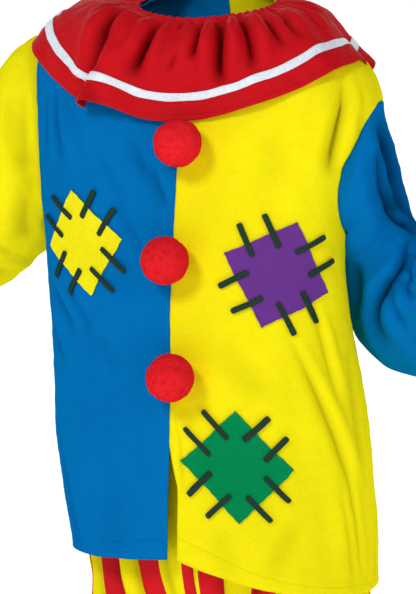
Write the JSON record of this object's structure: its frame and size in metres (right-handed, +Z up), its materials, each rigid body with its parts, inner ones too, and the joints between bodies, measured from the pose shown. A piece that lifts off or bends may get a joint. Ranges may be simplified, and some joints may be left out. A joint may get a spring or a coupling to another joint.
{
  "type": "worn clown costume",
  "caption": "Child's two-colour clown tunic with gathered collar, pompoms and felt patches, over striped trousers, in the hollow shape it has when worn.",
  "frame": {"origin": "the wearer's shoulders at the base of the neck, midway between front and back, where the costume hangs on its wearer", "axes": "+Z up; the front faces -Y; the wearer's left is +X"},
  "size_m": [0.9534, 0.3036, 1.0287],
  "materials": {
    "cloth_yellow": "matte woven cloth",
    "cloth_blue": "matte woven cloth",
    "cloth_red": "soft sheen woven cloth",
    "ribbon_white": "satin ribbon",
    "pompom_red": "fuzzy cut pile",
    "patch_yellow": "felt",
    "patch_purple": "felt",
    "patch_green": "felt",
    "felt_dark": "felt",
    "cloth_striped": "matte woven cloth in yellow and red stripes"
  },
  "bodies": {
    "root": {"tunic_front_left": "cloth_yellow", "tunic_front_right": "cloth_blue", "tunic_back_left": "cloth_yellow", "tunic_back_right": "cloth_blue", "sleeve_left": "cloth_blue", "sleeve_right": "cloth_yellow", "collar_ruffle": "cloth_red", "collar_ribbon": "ribbon_white", "pompom_top": "pompom_red", "pompom_middle": "pompom_red", "pompom_bottom": "pompom_red", "patch_yellow": "patch_yellow", "patch_yellow_bar_1": "felt_dark", "patch_yellow_bar_2": "felt_dark", "patch_yellow_bar_3": "felt_dark", "patch_yellow_bar_4": "felt_dark", "patch_yellow_bar_5": "felt_dark", "patch_yellow_bar_6": "felt_dark", "patch_yellow_bar_7": "felt_dark", "patch_yellow_bar_8": "felt_dark", "patch_purple": "patch_purple", "patch_purple_bar_1": "felt_dark", "patch_purple_bar_2": "felt_dark", "patch_purple_bar_3": "felt_dark", "patch_purple_bar_4": "felt_dark", "patch_purple_bar_5": "felt_dark", "patch_purple_bar_6": "felt_dark", "patch_purple_bar_7": "felt_dark", "patch_purple_bar_8": "felt_dark", "patch_green": "patch_green", "patch_green_bar_1": "felt_dark", "patch_green_bar_2": "felt_dark", "patch_green_bar_3": "felt_dark", "patch_green_bar_4": "felt_dark", "patch_green_bar_5": "felt_dark", "patch_green_bar_6": "felt_dark", "patch_green_bar_7": "felt_dark", "patch_green_bar_8": "felt_dark", "trousers_left": "cloth_striped", "trousers_right": "cloth_striped", "trousers_waistband": "cloth_striped"}
  },
  "joints": []
}
